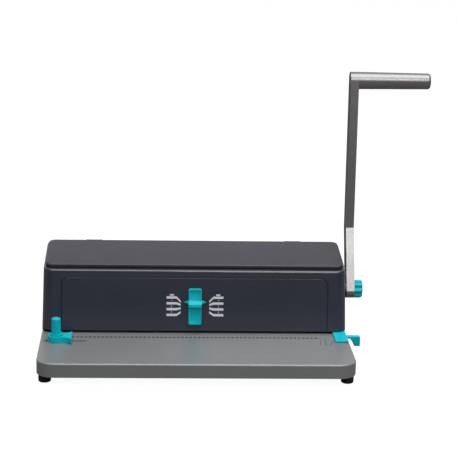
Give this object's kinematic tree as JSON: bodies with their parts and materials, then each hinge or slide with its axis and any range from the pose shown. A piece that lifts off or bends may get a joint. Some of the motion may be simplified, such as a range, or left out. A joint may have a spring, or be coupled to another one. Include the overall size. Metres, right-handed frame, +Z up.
{
  "type": "comb binding machine",
  "caption": "Manual desktop machine that punches rectangular holes along a sheet's edge and opens plastic combs, with a raked housing on a flat base and a cranked side lever.",
  "frame": {"origin": "on the plane of the feet, at the centre of the base; the foot of the raked front panel stands on Y = 0", "axes": "+X to the operator's right, along the punching line; +Y to the rear; +Z up"},
  "size_m": [0.4462, 0.221, 0.3175],
  "materials": {
    "base_paint": "satin metallic grey paint",
    "lever_paint": "satin silver-grey paint",
    "housing_plastic": "fine satin anthracite",
    "lid_plastic": "fine satin dark grey",
    "turquoise_plastic": "moulded turquoise, semi-gloss",
    "tray_plastic": "moulded black",
    "black_rubber": "matt",
    "sheet_steel": "zinc-plated sheet",
    "ground_steel": "ground",
    "spring_steel": "oiled",
    "zinc_screw": "zinc plated",
    "bushing_brass": "turned"
  },
  "bodies": {
    "root": {"base_pan": "base_paint", "bottom_plate": "sheet_steel", "rubber_feet": "black_rubber", "foot_screws": "zinc_screw", "die_plate": "ground_steel", "die_screws": "zinc_screw", "punch_guide": "ground_steel", "return_springs": "spring_steel", "spring_posts": "sheet_steel", "left_side_frame": "sheet_steel", "right_side_frame": "sheet_steel", "frame_screws": "zinc_screw", "frame_cap_screws": "zinc_screw", "frame_tie_rod": "sheet_steel", "shaft_bushings": "bushing_brass", "comb_bed": "sheet_steel", "comb_fingers": "sheet_steel", "finger_screws": "zinc_screw", "shoulder_screws": "zinc_screw", "housing": "housing_plastic", "housing_screws": "zinc_screw", "front_panel": "housing_plastic", "lid_hinge_pins": "spring_steel"},
    "lever": {"lever_arm": "lever_paint", "lever_grip": "lever_paint", "grip_bolt": "zinc_screw", "hub_spacer": "tray_plastic", "drive_shaft": "ground_steel", "shaft_clip": "spring_steel", "eccentric_cams": "ground_steel", "opener_cranks": "sheet_steel"},
    "knob": {"star_knob": "turquoise_plastic", "knob_stud": "zinc_screw"},
    "punch": {"punch_bar": "sheet_steel", "punches": "ground_steel", "punch_yokes": "sheet_steel", "yoke_screws": "zinc_screw"},
    "opener": {"hook_plate": "sheet_steel"},
    "cover": {"lid": "lid_plastic"},
    "selector": {"size_slider": "turquoise_plastic", "slider_clip": "tray_plastic"},
    "stop": {"depth_adjuster": "turquoise_plastic", "depth_stop_bar": "sheet_steel"},
    "side_guide": {"edge_guide": "turquoise_plastic", "guide_clamp_plate": "sheet_steel"},
    "guide_post": {"guide_knob": "turquoise_plastic", "guide_screw": "zinc_screw"},
    "tray": {"chip_tray": "tray_plastic"}
  },
  "joints": [
    {"name": "lever_swing", "type": "hinge", "parent": "root", "child": "lever", "pos_m": [0.18, 0.044, 0.068], "axis": [1, 0, 0], "range_deg": [0, 90]},
    {"name": "knob_turn", "type": "hinge", "parent": "lever", "child": "knob", "pos_m": [0.192, 0.044, 0.068], "axis": [1, 0, 0], "range_deg": [0, 360]},
    {"name": "punch_press", "type": "slide", "parent": "root", "child": "punch", "axis": [0, 0, -1], "range_m": [0, 0.009], "deforming": ["return_springs"]},
    {"name": "comb_open", "type": "slide", "parent": "root", "child": "opener", "axis": [0, -1, 0], "range_m": [0, 0.01415]},
    {"name": "lid_hinge", "type": "hinge", "parent": "root", "child": "cover", "pos_m": [0, 0.09516, 0.10987], "axis": [-1, 0, 0], "range_deg": [0, 100]},
    {"name": "size_select", "type": "slide", "parent": "root", "child": "selector", "axis": [0, -0.1374, -0.9905], "range_m": [0, 0.01]},
    {"name": "depth_adjust", "type": "slide", "parent": "root", "child": "stop", "axis": [0, 1, 0], "range_m": [-0.0015, 0.0035]},
    {"name": "edge_guide_slide", "type": "slide", "parent": "root", "child": "side_guide", "axis": [1, 0, 0], "range_m": [-0.009, 0.028]},
    {"name": "guide_knob_turn", "type": "hinge", "parent": "side_guide", "child": "guide_post", "pos_m": [-0.1566, -0.0293, 0.04], "axis": [0, 0, 1], "range_deg": [0, 180]},
    {"name": "tray_slide", "type": "slide", "parent": "root", "child": "tray", "axis": [0, 1, 0], "range_m": [0, 0.095]}
  ],
  "couplings": [
    {"joint": "punch_press", "follows": "lever_swing", "m_per_rad": 0.0057296},
    {"joint": "comb_open", "follows": "lever_swing", "m_per_rad": 0.0090032}
  ]
}
